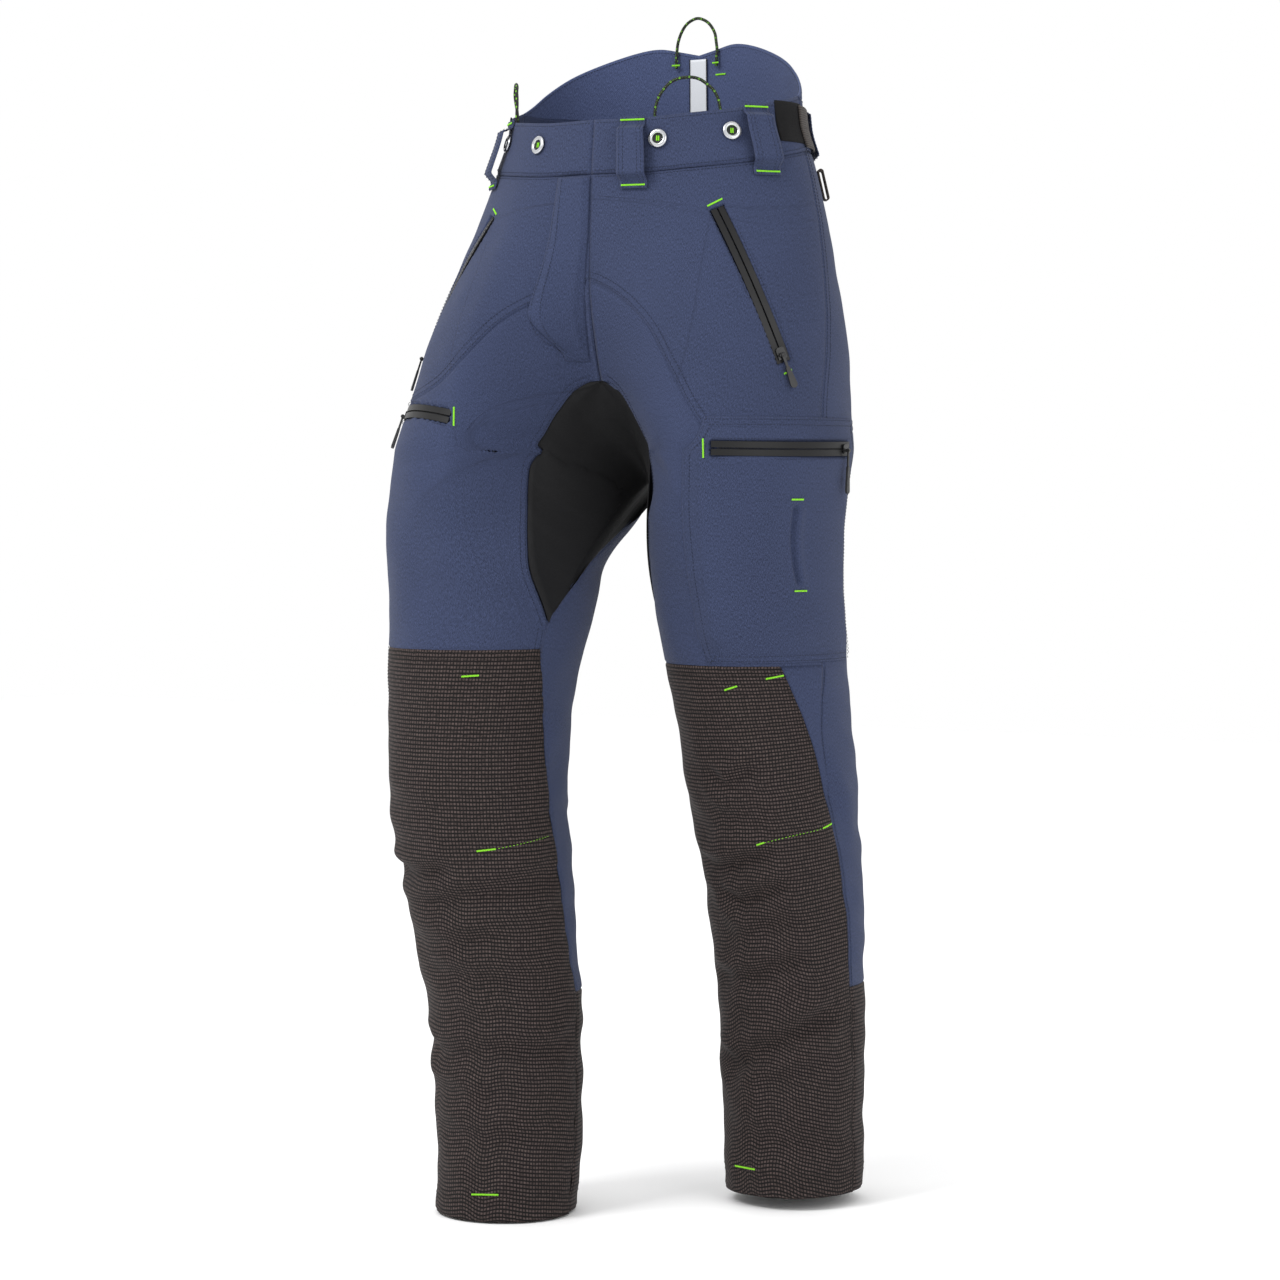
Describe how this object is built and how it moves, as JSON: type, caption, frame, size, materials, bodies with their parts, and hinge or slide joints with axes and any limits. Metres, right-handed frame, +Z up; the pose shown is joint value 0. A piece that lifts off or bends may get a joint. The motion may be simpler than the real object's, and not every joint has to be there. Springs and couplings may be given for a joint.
{
  "type": "chainsaw protection trousers",
  "caption": "Protective work trousers in a walking stance: padded legs, darker check shins, zipped pockets, high back, belt loops, brace buttons and cord loops",
  "frame": {"origin": "centre of the waist opening, level with the top of the front waistband", "axes": "+Z up, +X to the wearer's left, -Y to the wearer's front"},
  "size_m": [0.4181, 0.3811, 1.1431],
  "materials": {
    "blue_twill": "mid-blue melange stretch twill, matt",
    "check_ripstop": "black and brown fine check, matt",
    "stretch_black": "matt black stretch cloth",
    "pad_felt": "layered protective fibre, off-white",
    "lining": "thin dark mesh",
    "zip_tape": "black laminated tape and coil",
    "slider_metal": "black enamel",
    "moulded_black": "moulded rubbery black",
    "webbing": "ribbed dark brown webbing",
    "hook_loop": "black loop pile",
    "cord_fleck": "black braid with green flecks",
    "tack_green": "neon green stitching",
    "button_steel": "satin rim, dark centre",
    "reflective": "light grey reflective tape"
  },
  "bodies": {
    "trousers": {"front_hip_panel_left": "blue_twill", "front_hip_panel_right": "blue_twill", "front_thigh_panel_left": "blue_twill", "front_thigh_panel_right": "blue_twill", "knee_shin_panel_left": "check_ripstop", "knee_shin_panel_right": "check_ripstop", "knee_dart_left": "blue_twill", "knee_dart_right": "blue_twill", "back_leg_panel_left": "blue_twill", "back_leg_panel_right": "blue_twill", "lower_back_panel_left": "check_ripstop", "lower_back_panel_right": "check_ripstop", "seat_panel_left": "blue_twill", "seat_panel_right": "blue_twill", "crotch_gusset": "stretch_black", "back_yoke": "blue_twill", "back_waistband": "blue_twill", "front_waistband_left": "blue_twill", "front_waistband_right": "blue_twill", "fly_facing": "blue_twill", "hem_facings": "check_ripstop", "cut_pad_left": "pad_felt", "cut_pad_right": "pad_felt", "leg_lining_left": "lining", "leg_lining_right": "lining", "cargo_pocket": "blue_twill", "slit_pocket_welt": "blue_twill", "belt_loop_left_front": "blue_twill", "belt_loop_left_side": "blue_twill", "belt_loop_left_back": "blue_twill", "belt_loop_right_front": "blue_twill", "belt_loop_right_back": "blue_twill", "belt_loop_centre_back": "blue_twill", "tool_loop_left": "webbing", "brace_buttons": "button_steel", "brace_cord_back": "cord_fleck", "brace_cord_left": "cord_fleck", "brace_cord_right": "cord_fleck", "adjuster_patch_left": "hook_loop", "adjuster_patch_right": "hook_loop", "reflective_strip": "reflective", "bar_tacks": "tack_green", "hip_zip_left": "zip_tape", "hip_zip_right": "zip_tape", "cargo_zip": "zip_tape", "thigh_zip": "zip_tape", "fly_zip": "zip_tape"},
    "hip_left_slider": {"hip_zip_slider_left": "slider_metal"},
    "hip_left_puller": {"hip_zip_puller_left": "moulded_black"},
    "hip_right_slider": {"hip_zip_slider_right": "slider_metal"},
    "hip_right_puller": {"hip_zip_puller_right": "moulded_black"},
    "cargo_slider": {"cargo_zip_slider": "slider_metal"},
    "cargo_puller": {"cargo_zip_puller": "moulded_black"},
    "thigh_slider": {"thigh_zip_slider": "slider_metal"},
    "thigh_puller": {"thigh_zip_puller": "moulded_black"},
    "fly_slider": {"fly_zip_slider": "slider_metal"},
    "fly_puller": {"fly_zip_puller": "moulded_black"},
    "adjuster_left": {"adjuster_tab_left": "webbing"},
    "adjuster_right": {"adjuster_tab_right": "webbing"}
  },
  "joints": [
    {"name": "hip_left_zip_run", "type": "hinge", "parent": "trousers", "child": "hip_left_slider", "pos_m": [-0.18745, 0.22133, -0.23164], "axis": [0.5869, 0.7231, 0.3643], "range_deg": [-16.79, 0]},
    {"name": "hip_left_puller_swing", "type": "hinge", "parent": "hip_left_slider", "child": "hip_left_puller", "pos_m": [0.17432, -0.0794, -0.21751], "axis": [-0.5869, -0.7231, -0.3643], "range_deg": [0, 150]},
    {"name": "hip_right_zip_run", "type": "hinge", "parent": "trousers", "child": "hip_right_slider", "pos_m": [0.20747, 0.20802, -0.37324], "axis": [0.6208, -0.7672, -0.1616], "range_deg": [-14.72, 0]},
    {"name": "hip_right_puller_swing", "type": "hinge", "parent": "hip_right_slider", "child": "hip_right_puller", "pos_m": [-0.18359, -0.1414, -0.2166], "axis": [-0.6208, 0.7672, 0.1616], "range_deg": [0, 150]},
    {"name": "cargo_zip_run", "type": "hinge", "parent": "trousers", "child": "cargo_slider", "pos_m": [0.06086, -0.02044, -0.29836], "axis": [0.0321, -0.0161, 0.9994], "range_deg": [-58.65, 0]},
    {"name": "cargo_puller_swing", "type": "hinge", "parent": "cargo_slider", "child": "cargo_puller", "pos_m": [0.20223, -0.00614, -0.30417], "axis": [0.0999, -0.9948, -0.0192], "range_deg": [0, 150]},
    {"name": "thigh_zip_run", "type": "hinge", "parent": "trousers", "child": "thigh_slider", "pos_m": [-0.09984, -0.11593, -0.30216], "axis": [-0.2, -0.2761, -0.9401], "range_deg": [-55.76, 0]},
    {"name": "thigh_puller_swing", "type": "hinge", "parent": "thigh_slider", "child": "thigh_puller", "pos_m": [-0.19302, -0.15876, -0.27135], "axis": [-0.4556, 0.8757, -0.1602], "range_deg": [0, 150]},
    {"name": "fly_zip_run", "type": "slide", "parent": "trousers", "child": "fly_slider", "axis": [-0.0985, -0.1382, -0.9855], "range_m": [0, 0.09111]},
    {"name": "fly_puller_swing", "type": "hinge", "parent": "fly_slider", "child": "fly_puller", "pos_m": [-0.01848, -0.13141, -0.06743], "axis": [-0.9627, -0.2376, 0.1296], "range_deg": [0, 4]},
    {"name": "adjuster_left_lift", "type": "hinge", "parent": "trousers", "child": "adjuster_left", "pos_m": [0.13178, 0.04094, -0.00426], "axis": [0, 0, 1], "range_deg": [0, 60]},
    {"name": "adjuster_right_lift", "type": "hinge", "parent": "trousers", "child": "adjuster_right", "pos_m": [-0.17364, 0.03871, -0.00416], "axis": [0, 0, -1], "range_deg": [0, 60]}
  ]
}
